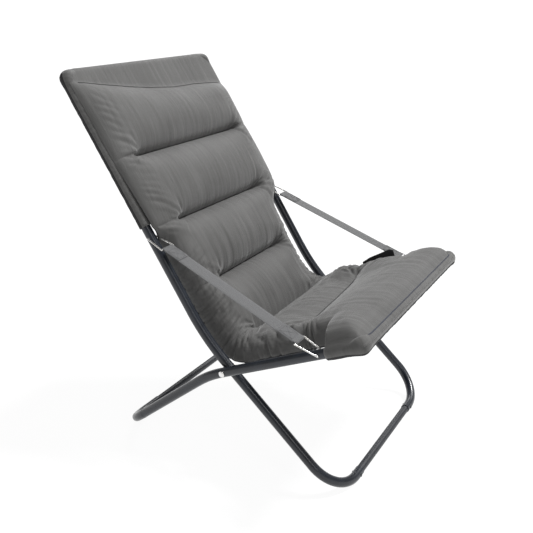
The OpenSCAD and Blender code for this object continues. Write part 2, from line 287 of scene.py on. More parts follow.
def to_world(t, x, n):
    """Points in metres from running distance, x and height over the tubes' line."""
    point, normal = line_and_normal(t)
    yz = point + n[..., None] * normal
    aside = -FAR_SHIFT * smooth(t, 405, 470) * (1 - smooth(t, 600, 690)) * smooth(x, -200, 200)
    return np.stack([x + aside, yz[..., 0], yz[..., 1]], -1) * MM


def new_mesh(name, verts, faces, smooth_shade=True):
    mesh = bpy.data.meshes.new(name)
    mesh.from_pydata([tuple(v) for v in verts], [], faces)
    mesh.validate()
    mesh.update()
    if smooth_shade:
        mesh.polygons.foreach_set("use_smooth", [True] * len(mesh.polygons))
    obj = bpy.data.objects.new(name, mesh)
    bpy.context.scene.collection.objects.link(obj)
    return obj


def active(obj):
    bpy.ops.object.select_all(action="DESELECT")
    obj.select_set(True)
    bpy.context.view_layer.objects.active = obj


def coords(obj):
    co = np.zeros(len(obj.data.vertices) * 3)
    obj.data.vertices.foreach_get("co", co)
    return co.reshape(-1, 3)


def set_coords(obj, co):
    obj.data.vertices.foreach_set("co", np.asarray(co, np.float32).ravel())
    obj.data.update()


# ----------------------------------------------------------------- the cover
high, low = heights(U, X)
is_rim = np.zeros((NROWS, COLS), bool)
is_rim[[0, -1], :] = True
is_rim[:, [0, -1]] = True
rim_n = np.where(U > RUN_FLAP - 1, low + 0.6, (high + low) / 2)
high = np.where(is_rim, rim_n, high)
upper_pts = to_world(T, X, high)
lower_pts = to_world(T, X, low)
upper_id = np.arange(NROWS * COLS).reshape(NROWS, COLS)
lower_id = upper_id.copy()
inner = ~is_rim
lower_id[inner] = NROWS * COLS + np.arange(inner.sum())
cover_pts = np.vstack([upper_pts.reshape(-1, 3), lower_pts[inner]])
faces, uvs = [], []
UPPER_UV = 2.0                     # keeps the upper layer's texture apart from the lower's


def quad(ids, i, j, flip):
    order = [(i, j), (i, j + 1), (i + 1, j + 1), (i + 1, j)]
    if flip:
        order.reverse()
    faces.append(tuple(int(ids[k]) for k in order))
    uvs.extend((X[k] * MM, U[k] * MM + (UPPER_UV if flip else 0.0)) for k in order)


for i in range(NROWS - 1):
    for j in range(COLS - 1):
        quad(upper_id, i, j, True)
        quad(lower_id, i, j, False)
cover = new_mesh("quilted_cover", cover_pts, faces)
for polygon in cover.data.polygons:
    polygon.material_index = polygon.index % 2         # the lower layer's faces get the near-black painted shade cloth
layer = cover.data.uv_layers.new(name="cloth_uv")
layer.data.foreach_set("uv", np.array(uvs, np.float32).ravel())

# Each vertex's running distance, x, and layer: 1 upper, 0 lower, 0.5 the rim they share
both_t = np.concatenate([U.ravel(), U[inner]])
both_x = np.concatenate([X.ravel(), X[inner]])
both_up = np.concatenate([np.where(is_rim, 0.5, 1.0).ravel(), np.zeros(inner.sum())])


def weight_group(obj, name, weights):
    group = obj.vertex_groups.new(name=name)
    for value in np.unique(weights):
        if value > 0:
            group.add(np.nonzero(weights == value)[0].tolist(), float(value), "REPLACE")
    return group


SIM_FRAMES = 20
LEAST_SWELL, MOST_SWELL = 2.0, 12.0     # millimetres at the tubes, and added away from them
UNDER_SHARE = 0.6                       # of that, for the lower layer


def simulate(obj):
    """Swells the pads with air pressure and loose cloth; seams, rims and wraps are held."""
    s_in = inside_of(both_x, both_t, BACK_X)
    a_in = inside_of(both_x, FRONT_A - (both_t - RUN_SEAT), SEAT_X)
    rim = both_up == 0.5
    on_back_tube = (both_t < 400) & (s_in < 20)
    on_front = (both_t > RUN_FLAP) & (a_in < 18)
    seam_rows = np.zeros(len(both_t), bool)
    for t0, w0, _n in SEAMS[:-1]:
        nearest = np.abs(U[:, COLS // 2] - t0).argmin()
        seam_rows |= (np.abs(both_t - U[nearest, COLS // 2]) < 1) & (np.abs(both_x) < w0)
    hold = rim | on_back_tube | on_front | (both_t < HEM + 2) | (seam_rows & (both_up > 0.4))
    weight = np.where(hold, 1.0, np.where(both_up == 0, 0.25, 0.0))
    slack = smooth(np.abs(both_x), 140, 215) * (1 - smooth(both_t, RUN_FLAP - 30, RUN_FLAP))
    group = weight_group(obj, "hold", weight)
    loose = weight_group(obj, "loose", np.round(slack, 1))
    rest = coords(obj)
    mod = obj.modifiers.new("cloth", "CLOTH")
    st = mod.settings
    st.quality = 5
    st.mass = 0.25
    st.tension_stiffness = 12
    st.compression_stiffness = 12
    st.shear_stiffness = 6
    st.bending_stiffness = 0.25
    st.use_pressure = True
    st.uniform_pressure_force = 4.0
    st.shrink_min = 0.0
    st.shrink_max = -0.07
    st.vertex_group_shrink = "loose"
    st.effector_weights.gravity = 0
    st.vertex_group_mass = "hold"
    mod.collision_settings.use_collision = False
    scene = bpy.context.scene
    mod.point_cache.frame_start = 1
    mod.point_cache.frame_end = SIM_FRAMES
    for f in range(1, SIM_FRAMES + 1):
        scene.frame_set(f)
    shown = obj.evaluated_get(bpy.context.evaluated_depsgraph_get())
    co = np.zeros(len(shown.data.vertices) * 3)
    shown.data.vertices.foreach_get("co", co)
    moved = co.reshape(-1, 3) - rest
    obj.modifiers.remove(mod)
    obj.vertex_groups.remove(group)
    obj.vertex_groups.remove(loose)
    scene.frame_set(1)
    near_tube = np.where(both_t < ON_BACK, smooth(s_in, 12, 60),
                         np.where(both_t > RUN_FLAP, smooth(a_in, 12, 60), 1.0))
    away = near_tube * np.where(both_up == 0, UNDER_SHARE, 1.0)
    cap = (LEAST_SWELL + MOST_SWELL * away) * MM
    size = np.linalg.norm(moved, axis=1)
    moved *= np.minimum(1, cap / np.maximum(size, 1e-9))[:, None]
    moved[hold] = 0
    set_coords(obj, rest + moved)


simulate(cover)


def noise2(u, v, seed):
    """Smooth noise from -1 to 1 at each (u, v)."""
    return np.array([noise.noise(Vector((a, b, seed))) for a, b in zip(u, v)])


def ridged(u, v, seed):
    return 1 - 2 * np.abs(noise2(u, v, seed))


def creases(phase):
    """Sharp valleys at whole phases, with full rounded folds between, from -1 to 0.5."""
    return 1.5 * np.abs(np.sin(math.pi * phase)) ** 0.7 - 1


def fan(ax, t, w0, t0, seed):
    """Sharp folds that run outward from a seam's end."""
    folds = [(-1.15, 2.2), (-0.62, 3.6), (-0.2, 3.0), (0.28, 3.8), (0.85, 2.6)]   # angle, depth
    rho = np.hypot(ax - w0, t - t0)
    theta = np.arctan2(t - t0, ax - w0)
    reach = smooth(rho, 3, 16) * np.exp(-np.clip(rho - 22, 0, None) / 34)
    reach = reach * smooth(ax, w0 - 6, w0 + 8)
    out = np.zeros_like(rho)
    for m, (angle, deep) in enumerate(folds):
        at = angle + 0.16 * math.sin(seed * 3.7 + m * 2.1) + 0.0022 * rho * math.sin(seed + m)
        u = rho * np.sin(theta - at) / (3.2 + 0.05 * rho)
        out += deep * (0.55 * np.exp(-(u + 1.7) ** 2) - np.exp(-u ** 2)) * (np.cos(theta - at) > 0)
    return out * reach


GATHERED = (0.3, 0.5, 1.3, 1.2, 0.8)    # how strongly the cloth is gathered at each seam


def wrinkles(t, x, up):
    """Folds of the cloth along its normal, in millimetres."""
    ax = np.abs(x)
    lower = smooth(t, 380, 470)
    out = (0.25 + 0.8 * lower) * noise2(x / 17, t / 150, 3.1)
    out += 0.3 * lower * noise2(x / 8, t / 90, 7.7)
    # Gathers along each seam, and a fan of folds at each of its ends
    for k, (t0, w0, _n) in enumerate(SEAMS[1:-1], 1):
        near = np.abs(t - t0)
        gathers = ridged(x / 13, t / 160, 11.0 + k)
        out += GATHERED[k - 1] * gathers * np.exp(-near / 24) * (1 - smooth(ax, w0 - 10, w0 + 25))
        for sign in (-1, 1):
            out += np.where(np.sign(x) == sign, fan(ax, t, w0, t0, 2 * k + sign), 0)
    # Bunched cloth down the lower sides, and small folds down the upper sides
    half = table(HALF_W, t)
    side = smooth(ax, half - 85, half - 25)
    low_side = smooth(t, 420, 560) * (1 - smooth(t, RUN_SEAT + 190, RUN_SEAT + 262))
    bend = noise2(t / 70, x / 45, 41.0)
    bunch = creases((t - 0.63 * ax) / 27 + 0.9 * bend) + 0.55 * creases((t - 0.4 * ax) / 13 - bend)
    out += 4.6 * bunch * side * low_side * (0.6 + 0.6 * noise2(t / 60, x / 60, 43.0))
    upper_side = 1 - smooth(t, 400, 430)
    sway = noise2(t / 55, x / 70, 45.0)
    small = creases((t + 0.5 * ax) / 19 + 0.8 * sway)
    out += 3.4 * small * side * upper_side * smooth(t, 55, 110) * np.clip(0.45 + 1.2 * sway, 0, 1)
    # The crease, the rear seat pad and the front panel
    strip = np.exp(-((t - RUN_CREASE - 20) / 18) ** 2)
    out += 2.6 * ridged(x / 55, t / 8, 47.0) * strip
    rear = smooth(t, RUN_CREASE + 20, RUN_CREASE + 60)
    rear = rear * (1 - smooth(t, RUN_SEAT + 140, RUN_SEAT + 160))
    out += 1.4 * ridged(x / 45 + t / 90, t / 18, 49.0) * rear
    panel = smooth(t, RUN_SEAT + 150, RUN_SEAT + 175)
    out += 0.9 * noise2(x / 40, t / 16, 53.0) * panel
    # No folds into the tubes
    s_in = inside_of(x, t, BACK_X)
    a_in = inside_of(x, FRONT_A - (t - RUN_SEAT), SEAT_X)
    calm = np.where(t < ON_BACK, smooth(s_in, 4, 30),
                    np.where(t > RUN_FLAP, smooth(a_in, 0, 26), 1.0))
    return out * calm * np.where(up > 0.4, 1.0, 0.35)


def store(obj, name, values):
    attribute = obj.data.attributes.new(name, "FLOAT", "POINT")
    attribute.data.foreach_set("value", values.astype(np.float32))


def fetch(obj, name):
    values = np.zeros(len(obj.data.vertices), np.float32)
    obj.data.attributes[name].data.foreach_get("value", values)
    return values.astype(float)


STRAP_CLEAR = 0.2425               # metres from the middle to the arm straps' inner edges
store(cover, "run", both_t)
store(cover, "across", both_x)
store(cover, "layer", both_up)
active(cover)
mod = cover.modifiers.new("subdivision", "SUBSURF")
mod.levels = mod.render_levels = 1
bpy.ops.object.modifier_apply(modifier=mod.name)
fine_t, fine_x, fine_up = fetch(cover, "run"), fetch(cover, "across"), fetch(cover, "layer")
fold = wrinkles(fine_t, fine_x, fine_up)
nrm = np.zeros(len(cover.data.vertices) * 3)
cover.data.vertex_normals.foreach_get("vector", nrm)
folded = coords(cover) + nrm.reshape(-1, 3) * fold[:, None] * MM
clear = (fine_t > ON_BACK + 10) & (fine_t < RUN_FLAP - 6)
folded[clear, 0] = np.clip(folded[clear, 0], -STRAP_CLEAR, STRAP_CLEAR)
set_coords(cover, folded)
for name in ("run", "across", "layer"):
    cover.data.attributes.remove(cover.data.attributes[name])
bvh = BVHTree.FromPolygons(coords(cover).tolist(), [tuple(p.vertices) for p in cover.data.polygons])


def on_cover(points, lift):
    """Points moved onto the cover's surface and raised by lift."""
    at = []
    for p in points:
        loc, normal, _index, _dist = bvh.find_nearest(Vector(p))
        at.append(np.array(loc) + np.array(normal) * lift)
    return np.array(at)


# ------------------------------------------------------ swept and small shapes
def sweep(name, path, radius):
    """A round cord along a path, with capped ends."""
    sides = 8
    path = np.asarray(path, float)
    n = len(path)
    tangent = np.gradient(path, axis=0)
    tangent /= np.linalg.norm(tangent, axis=1)[:, None]
    side = np.cross(tangent[0], [0, 0, 1.0])
    if np.linalg.norm(side) < 1e-6:
        side = np.array([0, 1.0, 0])
    verts, quads = [], []
    radius = np.broadcast_to(np.asarray(radius, float), (n,))
    for k in range(n):
        side = side - tangent[k] * (side @ tangent[k])
        side /= np.linalg.norm(side)
        up = np.cross(side, tangent[k])
        for m in range(sides):
            ang = 2 * math.pi * m / sides
            verts.append(path[k] + radius[k] * (math.cos(ang) * side + math.sin(ang) * up))
    for k in range(n - 1):
        for m in range(sides):
            a, b = k * sides + m, k * sides + (m + 1) % sides
            quads.append((a, a + sides, b + sides, b))
    quads.append(tuple(range(sides)))
    quads.append(tuple(reversed(range((n - 1) * sides, n * sides))))
    return new_mesh(name, verts, quads)


def stitches(name, path, normals, pitch, length, radius):
    """A row of thread stitches along a path, each a small capsule bowed into the cloth."""
    sides = 6
    spots = ((0, 0.35), (0.15, 0.85), (0.5, 1.0), (0.85, 0.85), (1.0, 0.35))   # place, thickness
    path = np.asarray(path, float)
    step = np.r_[0, np.cumsum(np.linalg.norm(np.diff(path, axis=0), axis=1))]
    verts, quads = [], []
    for start in np.arange(pitch / 2, step[-1] - length, pitch):
        ring = []
        for q, _thick in spots:
            d = start + q * length
            p = np.array([np.interp(d, step, path[:, c]) for c in range(3)])
            up = np.array([np.interp(d, step, normals[:, c]) for c in range(3)])
            ring.append((p + up * radius * (1.1 - 6.0 * (q - 0.5) ** 2), up))
        ahead = ring[-1][0] - ring[0][0]
        ahead /= max(np.linalg.norm(ahead), 1e-9)
        base = len(verts)
        for (p, up), (_q, w) in zip(ring, spots):
            side = np.cross(ahead, up)
            side /= max(np.linalg.norm(side), 1e-9)
            rise = np.cross(side, ahead)
            for m in range(sides):
                ang = 2 * math.pi * m / sides
                verts.append(p + radius * w * (math.cos(ang) * side + math.sin(ang) * rise))
        last = (len(spots) - 1) * sides
        for k in range(0, last, sides):
            for m in range(sides):
                a, b = base + k + m, base + k + (m + 1) % sides
                quads.append((a, a + sides, b + sides, b))
        quads.append(tuple(base + m for m in range(sides)))
        quads.append(tuple(base + last + m for m in reversed(range(sides))))
    return new_mesh(name, verts, quads)


# ------------------------------------------------------------------ materials
def nodes_of(name):
    """A new material, its node tree, and the tree's shader."""
    mat = bpy.data.materials.new(name)
    mat.use_nodes = True
    tree = mat.node_tree
    return mat, tree, tree.nodes["Principled BSDF"]


def add(tree, kind, **values):
    """A new node, with values for its sockets or its own settings."""
    node = tree.nodes.new(kind)
    for key, value in values.items():
        if key in node.inputs:
            node.inputs[key].default_value = value
        else:
            setattr(node, key, value)
    return node


def ramp(tree, fac, stops):
    node = add(tree, "ShaderNodeValToRGB")
    tree.links.new(fac, node.inputs["Fac"])
    while len(node.color_ramp.elements) < len(stops):
        node.color_ramp.elements.new(0.5)
    for element, (pos, colour) in zip(node.color_ramp.elements, stops):
        element.position = pos
        element.color = (*colour, 1)
    return node.outputs["Color"]


def mapped(tree, source, scale):
    node = add(tree, "ShaderNodeMapping")
    node.inputs["Scale"].default_value = scale
    tree.links.new(source, node.inputs["Vector"])
    return node.outputs["Vector"]


def noise_of(tree, vector, scale, detail, rough=0.5):
    node = add(tree, "ShaderNodeTexNoise", Scale=scale, Detail=detail, Roughness=rough)
    tree.links.new(vector, node.inputs["Vector"])
    return node.outputs["Fac"]


def bands(tree, vector, direction, scale, distortion):
    """Parallel threads across one direction of the cloth."""
    node = add(tree, "ShaderNodeTexWave", wave_type="BANDS", bands_direction=direction,
               Scale=scale, Distortion=distortion)
    tree.links.new(vector, node.inputs["Vector"])
    return node.outputs["Fac"]


def mixed(tree, kind, a, b):
    """Two sockets or numbers added or multiplied."""
    node = add(tree, "ShaderNodeMath", operation=kind)
    for k, value in enumerate((a, b)):
        if isinstance(value, (int, float)):
            node.inputs[k].default_value = value
        else:
            tree.links.new(value, node.inputs[k])
    return node.outputs[0]


def bump(tree, bsdf, height, distance, strength):
    node = add(tree, "ShaderNodeBump", Strength=strength, Distance=distance)
    tree.links.new(height, node.inputs["Height"])
    tree.links.new(node.outputs["Normal"], bsdf.inputs["Normal"])


def cloth_material():
    mat, tree, bsdf = nodes_of("brushed_polyester")
    uv = add(tree, "ShaderNodeUVMap", uv_map="cloth_uv").outputs["UV"]
    streak = noise_of(tree, mapped(tree, uv, (95, 7, 1)), 1.0, 4.0, 0.6)
    fine = noise_of(tree, mapped(tree, uv, (900, 90, 1)), 1.0, 2.0)
    patch = noise_of(tree, mapped(tree, uv, (9, 7, 1)), 1.0, 3.0)
    weave = mixed(tree, "MULTIPLY", bands(tree, uv, "X", 420.0, 0.6),
                  bands(tree, uv, "Y", 420.0, 0.6))
    tone = mixed(tree, "ADD", mixed(tree, "MULTIPLY", streak, 0.6),
                 mixed(tree, "MULTIPLY", patch, 0.4))
    colour = ramp(tree, tone, [(0.3, (0.064, 0.063, 0.061)), (0.52, (0.090, 0.089, 0.087)),
                               (0.72, (0.118, 0.117, 0.115))])
    tree.links.new(colour, bsdf.inputs["Base Color"])
    dull = ramp(tree, fine, [(0.3, (0.62,) * 3), (0.7, (0.78,) * 3)])
    tree.links.new(dull, bsdf.inputs["Roughness"])
    bsdf.inputs["Sheen Weight"].default_value = 0.35
    bsdf.inputs["Sheen Roughness"].default_value = 0.4
    bsdf.inputs["Specular IOR Level"].default_value = 0.35
    grain = mixed(tree, "ADD", mixed(tree, "MULTIPLY", fine, 0.16),
                  mixed(tree, "MULTIPLY", weave, 0.06))
    bump(tree, bsdf, mixed(tree, "ADD", streak, grain), 0.0013, 0.8)
    return mat


def web_material():
    mat, tree, bsdf = nodes_of("ribbed_webbing")
    uv = add(tree, "ShaderNodeUVMap", uv_map="cloth_uv").outputs["UV"]
    ribs, picks = bands(tree, uv, "X", 130.0, 0.4), bands(tree, uv, "Y", 300.0, 0.4)
    grain = noise_of(tree, mapped(tree, uv, (300, 40, 1)), 1.0, 3.0)
    both = mixed(tree, "ADD", mixed(tree, "MULTIPLY", ribs, 0.6),
                 mixed(tree, "MULTIPLY", picks, 0.25))
    relief = mixed(tree, "ADD", both, mixed(tree, "MULTIPLY", grain, 0.3))
    colour = ramp(tree, relief, [(0.15, (0.062, 0.063, 0.065)), (0.9, (0.116, 0.117, 0.120))])
    tree.links.new(colour, bsdf.inputs["Base Color"])
    bsdf.inputs["Roughness"].default_value = 0.72
    bsdf.inputs["Sheen Weight"].default_value = 0.2
    bump(tree, bsdf, relief, 0.0005, 0.9)
    return mat


def paint_material(name, dark, light, rough, coat):
    mat, tree, bsdf = nodes_of(name)
    place = add(tree, "ShaderNodeTexCoord").outputs["Object"]
    peel = noise_of(tree, place, 420.0, 2.0)
    wear = noise_of(tree, place, 26.0, 4.0)
    tree.links.new(ramp(tree, wear, [(0.35, dark), (0.7, light)]), bsdf.inputs["Base Color"])
    dull = ramp(tree, wear, [(0.3, (rough,) * 3), (0.75, (rough + 0.12,) * 3)])
    tree.links.new(dull, bsdf.inputs["Roughness"])
    bsdf.inputs["Coat Weight"].default_value = coat
    bsdf.inputs["Coat Roughness"].default_value = 0.12
    bsdf.inputs["Metallic"].default_value = 0.0
    bsdf.inputs["Specular IOR Level"].default_value = 0.45
    bump(tree, bsdf, peel, 0.0002, 0.35)
    return mat


def zinc_material():
    mat, tree, bsdf = nodes_of("bright_zinc")
    place = add(tree, "ShaderNodeTexCoord").outputs["Object"]
    spangle = noise_of(tree, place, 300.0, 3.0)
    stain = noise_of(tree, place, 55.0, 3.0)
    colour = ramp(tree, stain, [(0.3, (0.62, 0.60, 0.56)), (0.7, (0.86, 0.86, 0.87))])
    dull = ramp(tree, spangle, [(0.3, (0.2,) * 3), (0.7, (0.36,) * 3)])
    tree.links.new(colour, bsdf.inputs["Base Color"])
    tree.links.new(dull, bsdf.inputs["Roughness"])
    bsdf.inputs["Metallic"].default_value = 1.0
    bump(tree, bsdf, spangle, 0.0001, 0.3)
    return mat


def thread_material(name, colour):
    mat, tree, bsdf = nodes_of(name)
    place = add(tree, "ShaderNodeTexCoord").outputs["Object"]
    twist = noise_of(tree, place, 2600.0, 2.0)
    shade = tuple(c * 0.7 for c in colour)
    tree.links.new(ramp(tree, twist, [(0.3, shade), (0.7, colour)]), bsdf.inputs["Base Color"])
    bsdf.inputs["Roughness"].default_value = 0.6
    bump(tree, bsdf, twist, 0.0002, 0.5)
    return mat


CLOTH = cloth_material()
WEB = web_material()
PAINT = paint_material("navy_black_enamel",
                       (0.006, 0.008, 0.013), (0.012, 0.016, 0.024), 0.27, 0.25)
BAR_PAINT = paint_material("satin_black_enamel",
                           (0.008, 0.010, 0.014), (0.015, 0.018, 0.024), 0.42, 0.1)
ZINC = zinc_material()
NYLON = paint_material("black_nylon", (0.010, 0.010, 0.010), (0.020, 0.020, 0.020), 0.55, 0.0)
THREAD = thread_material("grey_thread", (0.10, 0.10, 0.105))
# Near-black cloth that stands for shade: painted shade on the cover's lower layer, the sleeves'
# sides away from the sitter and the far rim flap.
PAINTED_SHADE = paint_material("painted_shade_cloth",
                         (0.010, 0.010, 0.011), (0.022, 0.022, 0.023), 0.8, 0.0)
NAVY = thread_material("navy_piping", (0.018, 0.024, 0.045))
# Near-black cord colour for the hem and seams: painted shade in their grooves.
SEAM_SHADE = thread_material("painted_seam_shade", (0.010, 0.010, 0.011))

LOOKS = {"tube_paint": PAINT, "zinc_wire": ZINC, "washer_plastic": NYLON,
         "cover_cloth": CLOTH, "strap_webbing": WEB}
for part in frame["record"]["subparts"]:
    node = frame["nodes"][part["node"]]
    mat = LOOKS[part["material_slot"]]
    if part["node"].endswith(("_bar", "_rivets")):
        mat = BAR_PAINT
    node.data.materials.clear()
    node.data.materials.append(mat)
cover.data.materials.append(CLOTH)
cover.data.materials.append(PAINTED_SHADE)
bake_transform(cover)
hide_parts("cover_head_pad", "cover_shoulder_pad", "cover_back_pad", "cover_lumbar_pad",
            "cover_crease", "cover_seat_rear_pad", "cover_seat_front_pad")


# -------------------------------------------------------------------- sleeves
SLEEVE_SIDES = 32
UV_ALONG, UV_ROUND = 0.006, 0.0035      # metres of cloth from ring to ring and round a ring
SLEEVE_OUT = 13.5                       # the sleeves' outer side from the tubes' middles
BORE_R, SLEEVE_T = 13.4, 1.1            # a slack sleeve is thicker than its cloth: its inner side
                                        # stays this close, so that no gap shows at its ends
RING_STEP = 6.0


def closed_shell(name, outer, inner):
    """A sleeve from two grids of rings of equal size, joined at both ends."""
    rows, cols, _ = outer.shape
    verts = np.vstack([outer.reshape(-1, 3), inner.reshape(-1, 3)])
    shift = rows * cols
    quads, uv = [], []

    def put(ids, where):
        quads.append(tuple(int(i) for i in ids))
        uv.extend(where)

    for i in range(rows - 1):
        for j in range(cols):
            k = (j + 1) % cols
            a, b, c, d = i * cols + j, i * cols + k, (i + 1) * cols + k, (i + 1) * cols + j
            spot = [(i * UV_ALONG, j * UV_ROUND), (i * UV_ALONG, (j + 1) * UV_ROUND),
                    ((i + 1) * UV_ALONG, (j + 1) * UV_ROUND), ((i + 1) * UV_ALONG, j * UV_ROUND)]
            put((a, b, c, d), spot)
            put((a + shift, d + shift, c + shift, b + shift), [spot[0], spot[3], spot[2], spot[1]])
    for i, flip in ((0, True), (rows - 1, False)):
        for j in range(cols):
            k = (j + 1) % cols
            a, b = i * cols + j, i * cols + k
            ids = (a, b, b + shift, a + shift)
            spot = [(i * UV_ALONG, j * UV_ROUND), (i * UV_ALONG, (j + 1) * UV_ROUND)]
            put(ids if not flip else ids[::-1], [spot[0], spot[1], spot[1], spot[0]])
    obj = new_mesh(name, verts, quads)
    lay = obj.data.uv_layers.new(name="cloth_uv")
    lay.data.foreach_set("uv", np.array(uv, np.float32).ravel())
    obj.data.materials.append(CLOTH)
    return obj


def corner_path(middle_x):
    """(x, along) points round the +x corner of a bent tube."""
    return [(middle_x - CORNER_R + CORNER_R * math.sin(g), CORNER_R * (1 - math.cos(g)))
            for g in np.linspace(0, math.pi / 2, 18)]


def side_path(sign, end):
    """(x, along) points round a top corner and down a side tube."""
    run = [(BACK_X, d) for d in np.arange(CORNER_R + RING_STEP, end, RING_STEP)]
    path = np.array(corner_path(BACK_X) + run) * [sign, 1]
    return path if sign > 0 else path[::-1]


def bar_path(middle_x, past, step):
    """(x, along) points of a bar, its corners and a stretch of its side tubes, from -x to +x."""
    corner = middle_x - CORNER_R
    pts = [(corner * q, 0.0) for q in np.arange(0, 1, step / corner)] + corner_path(middle_x)
    if past > 0:
        pts += [(middle_x, CORNER_R + past * q) for q in (0.35, 0.7, 1.0)]
    half = np.array(pts)
    return np.vstack([half[:0:-1] * [-1, 1], half])


def stations(path, at, along_dir):
    """For each point of a path: x, distance along, its place, and the outward direction."""
    tangent = np.gradient(path, axis=0)
    tangent /= np.linalg.norm(tangent, axis=1)[:, None]
    return [(x, d, np.array([x, *(at + d * along_dir)]), np.array([td, *(-tx * along_dir)]))
            for (x, d), (tx, td) in zip(path, tangent)]


def sleeve(name, path, at, along_dir, normal, ring):
    """ring(x, d, angle) gives the cloth's radius; angle 0 is the sitter's side, 90 outward."""
    outer, inner = [], []
    angles = np.radians(np.arange(SLEEVE_SIDES) * 360 / SLEEVE_SIDES)
    n3 = np.array([0, *normal])
    for x, d, base, out3 in stations(path, at, along_dir):
        row_o, row_i = [], []
        for g in angles:
            r = ring(x, d, g)
            direction = math.cos(g) * n3 + math.sin(g) * out3
            row_o.append((base + r * direction) * MM)
            row_i.append((base + (min(r, BORE_R) - SLEEVE_T) * direction) * MM)
        outer.append(row_o)
        inner.append(row_i)
    return closed_shell(name, np.array(outer), np.array(inner))


def paint_shade_side(obj, first, last=22):
    """Near-black painted shade on the side away from the sitter, from one strip of the sleeve to
    another.
    """
    obj.data.materials.append(PAINTED_SHADE)
    for k, polygon in enumerate(obj.data.polygons):
        polygon.material_index = int(first <= k // 2 % SLEEVE_SIDES <= last)


def corner_out(x, d, middle_x):
    """How far out the sewn corner reaches from a bent tube's middle line."""
    px, pd = max(abs(x) - (middle_x - CORNER_R), 0.0), max(CORNER_R - d, 0.0)
    size = math.hypot(px, pd)
    if px == 0 or pd == 0:
        return SLEEVE_OUT
    power = (px / size) ** CORNER_POWER + (pd / size) ** CORNER_POWER
    return (CORNER_R + SLEEVE_OUT) / power ** (1 / CORNER_POWER) - CORNER_R


def top_ring(x, d, g):
    tail = max(0.0, -math.sin(g)) ** 3 * max(0.0, -math.cos(g))
    wave = 0.5 * noise.noise(Vector((x / 14, math.cos(g), math.sin(g))))
    return 13.3 + 16 * tail + wave


def front_ring(x, d, g):
    below = max(0.0, -math.cos(g - 0.5))
    place = Vector((x / 11 + d / 11, math.cos(g) * 0.6, 2.0 + math.sin(g) * 0.6))
    slack = 3.6 * below * (0.55 + 0.45 * (1 - 2 * abs(noise.noise(place))))
    return 13.6 + slack + (corner_out(x, d, SEAT_X) - SLEEVE_OUT) * max(0.0, math.sin(g)) ** 0.6


def side_ring(x, d, g):
    outer = max(0.0, math.sin(g)) ** 0.6
    fold = 1 - 2 * abs(noise.noise(Vector((d / 17 + 0.3 * g, math.cos(g) * 0.5, 5.0 + x / 300))))
    ruck = 1.5 * (0.5 + 0.5 * fold) * smooth(d, 20, 70)
    return 12.9 + (corner_out(x, d, BACK_X) - SLEEVE_OUT + ruck) * outer


SIDE_SLEEVE_END = 380.0
straight = BACK_X - CORNER_R - 1
top_path = np.array([(x, 0.0) for x in np.arange(-straight, straight + 1, RING_STEP)])
top_cloth = sleeve("top_sleeve_cloth", top_path, TOP, BACK_DOWN, BACK_NORMAL, top_ring)
paint_shade_side(top_cloth, 10)
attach(top_cloth, "back_frame")
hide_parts("cover_top_sleeve")
front_path = bar_path(SEAT_X, FRONT_A - FLAP_A - CORNER_R, RING_STEP)
front_cloth = sleeve("front_sleeve_cloth", front_path, FRONT, -SEAT_UP, SEAT_NORMAL, front_ring)
paint_shade_side(front_cloth, 11)
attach(front_cloth, "seat_frame")
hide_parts("cover_front_sleeve")
for name, sign in (("right", -1), ("left", 1)):
    path = side_path(sign, SIDE_SLEEVE_END)
    wrap_cloth = sleeve("side_sleeve_cloth_" + name, path, TOP, BACK_DOWN, BACK_NORMAL, side_ring)
    paint_shade_side(wrap_cloth, 7)
    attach(wrap_cloth, "back_frame")

# ------------------------------------------------------------ painted shade cords in the seams, and piping
# Near-black cords laid along the hem and into each seam's groove: painted shade where the pads
# meet.
hem_x = np.arange(-252, 252.1, 3.0)
hem_t = slipped(np.full(len(hem_x), HEM), hem_x)
hem_at = on_cover(to_world(hem_t, hem_x, np.full(len(hem_x), 16.0)), 0.0004)
hem = sweep("hem_shade_cord", hem_at, 0.0008)
hem.data.materials.append(SEAM_SHADE)
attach(hem, "back_frame")
for k, (t0, w0, n0) in enumerate(SEAMS[1:-1], 1):
    xs = np.arange(-w0 + 4, w0 - 3.9, 3.0)
    ts = slipped(np.full(len(xs), t0), xs)
    at = on_cover(to_world(ts, xs, np.full(len(xs), n0 + 2.0)), 0.0003)
    line = sweep("seam_shade_cord_%d" % k, at, 0.0014 * (0.3 + 0.7 * smooth(w0 - np.abs(xs), 4, 30)))
    line.data.materials.append(SEAM_SHADE)
    if k == 4:                                         # the crease
        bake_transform(line)
    else:
        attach(line, "back_frame" if k < 4 else "seat_frame")


def edge_line(path, at, along_dir, normal, angle, radius):
    """The line on a sleeve at an angle round its tube and a distance from its middle."""
    up = math.cos(angle) * np.array([0, *normal])
    return np.array([(base + radius * (up + math.sin(angle) * out3)) * MM
                     for _x, _d, base, out3 in stations(path, at, along_dir)])


PIPING_END, PIPING_ANGLE = 270, math.radians(34)
front_run = bar_path(SEAT_X, 0, 4.0)
front_run = front_run[np.abs(front_run[:, 0]) < PIPING_END]
edge = edge_line(front_run, FRONT, -SEAT_UP, SEAT_NORMAL, PIPING_ANGLE, 15.0)
piping = sweep("front_piping", on_cover(edge, 0.0004), 0.0013)
piping.data.materials.append(NAVY)
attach(piping, "seat_frame")


